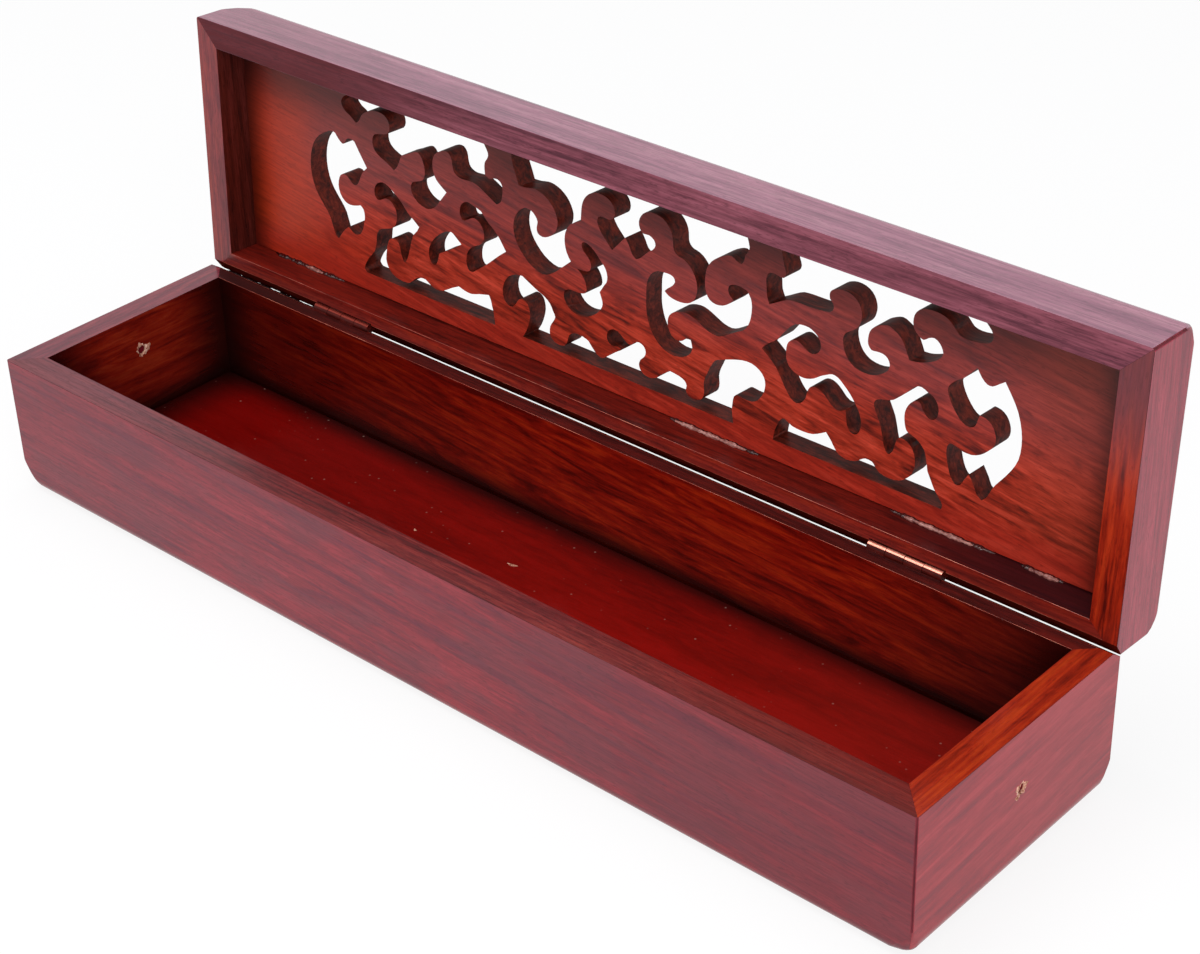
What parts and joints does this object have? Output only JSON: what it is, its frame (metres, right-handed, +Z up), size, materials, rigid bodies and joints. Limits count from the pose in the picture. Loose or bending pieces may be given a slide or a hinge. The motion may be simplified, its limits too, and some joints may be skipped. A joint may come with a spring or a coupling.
{
  "type": "incense stick box",
  "caption": "Long rectangular wooden box for incense sticks, with a hinged lid whose pierced scrollwork panel lets the smoke out.",
  "frame": {"origin": "centre of the flat underside of the floor board, which is flush with the underside of the walls", "axes": "+X to the right along the front, the long way; +Y to the back, where the hinges are; +Z up"},
  "size_m": [0.26, 0.0822, 0.0979],
  "materials": {
    "wall_wood": "dusty rose stain under thin satin lacquer",
    "floor_wood": "dark red glossy lacquer",
    "rail_wood": "dusty rose stain under thin satin lacquer",
    "openwork_wood": "orange-red stain, satin, with fine dark grain",
    "hinge_copper": "copper-coloured plate, satin"
  },
  "bodies": {
    "base": {"base_front_wall": "wall_wood", "base_back_wall": "wall_wood", "base_left_end": "wall_wood", "base_right_end": "wall_wood", "floor_panel": "floor_wood", "left_hinge_base_leaf": "hinge_copper", "left_hinge_pin": "hinge_copper", "left_hinge_base_screw_1": "hinge_copper", "left_hinge_base_screw_2": "hinge_copper", "right_hinge_base_leaf": "hinge_copper", "right_hinge_pin": "hinge_copper", "right_hinge_base_screw_1": "hinge_copper", "right_hinge_base_screw_2": "hinge_copper"},
    "lid": {"lid_front_rail": "rail_wood", "lid_back_rail": "rail_wood", "lid_left_end": "rail_wood", "lid_right_end": "rail_wood", "lid_pierced_panel": "openwork_wood", "left_hinge_lid_leaf": "hinge_copper", "left_hinge_lid_screw_1": "hinge_copper", "left_hinge_lid_screw_2": "hinge_copper", "right_hinge_lid_leaf": "hinge_copper", "right_hinge_lid_screw_1": "hinge_copper", "right_hinge_lid_screw_2": "hinge_copper"}
  },
  "joints": [
    {"name": "lid_hinge", "type": "hinge", "parent": "base", "child": "lid", "pos_m": [0, 0.0308, 0.03415], "axis": [1, 0, 0], "range_deg": [0, 93]}
  ]
}
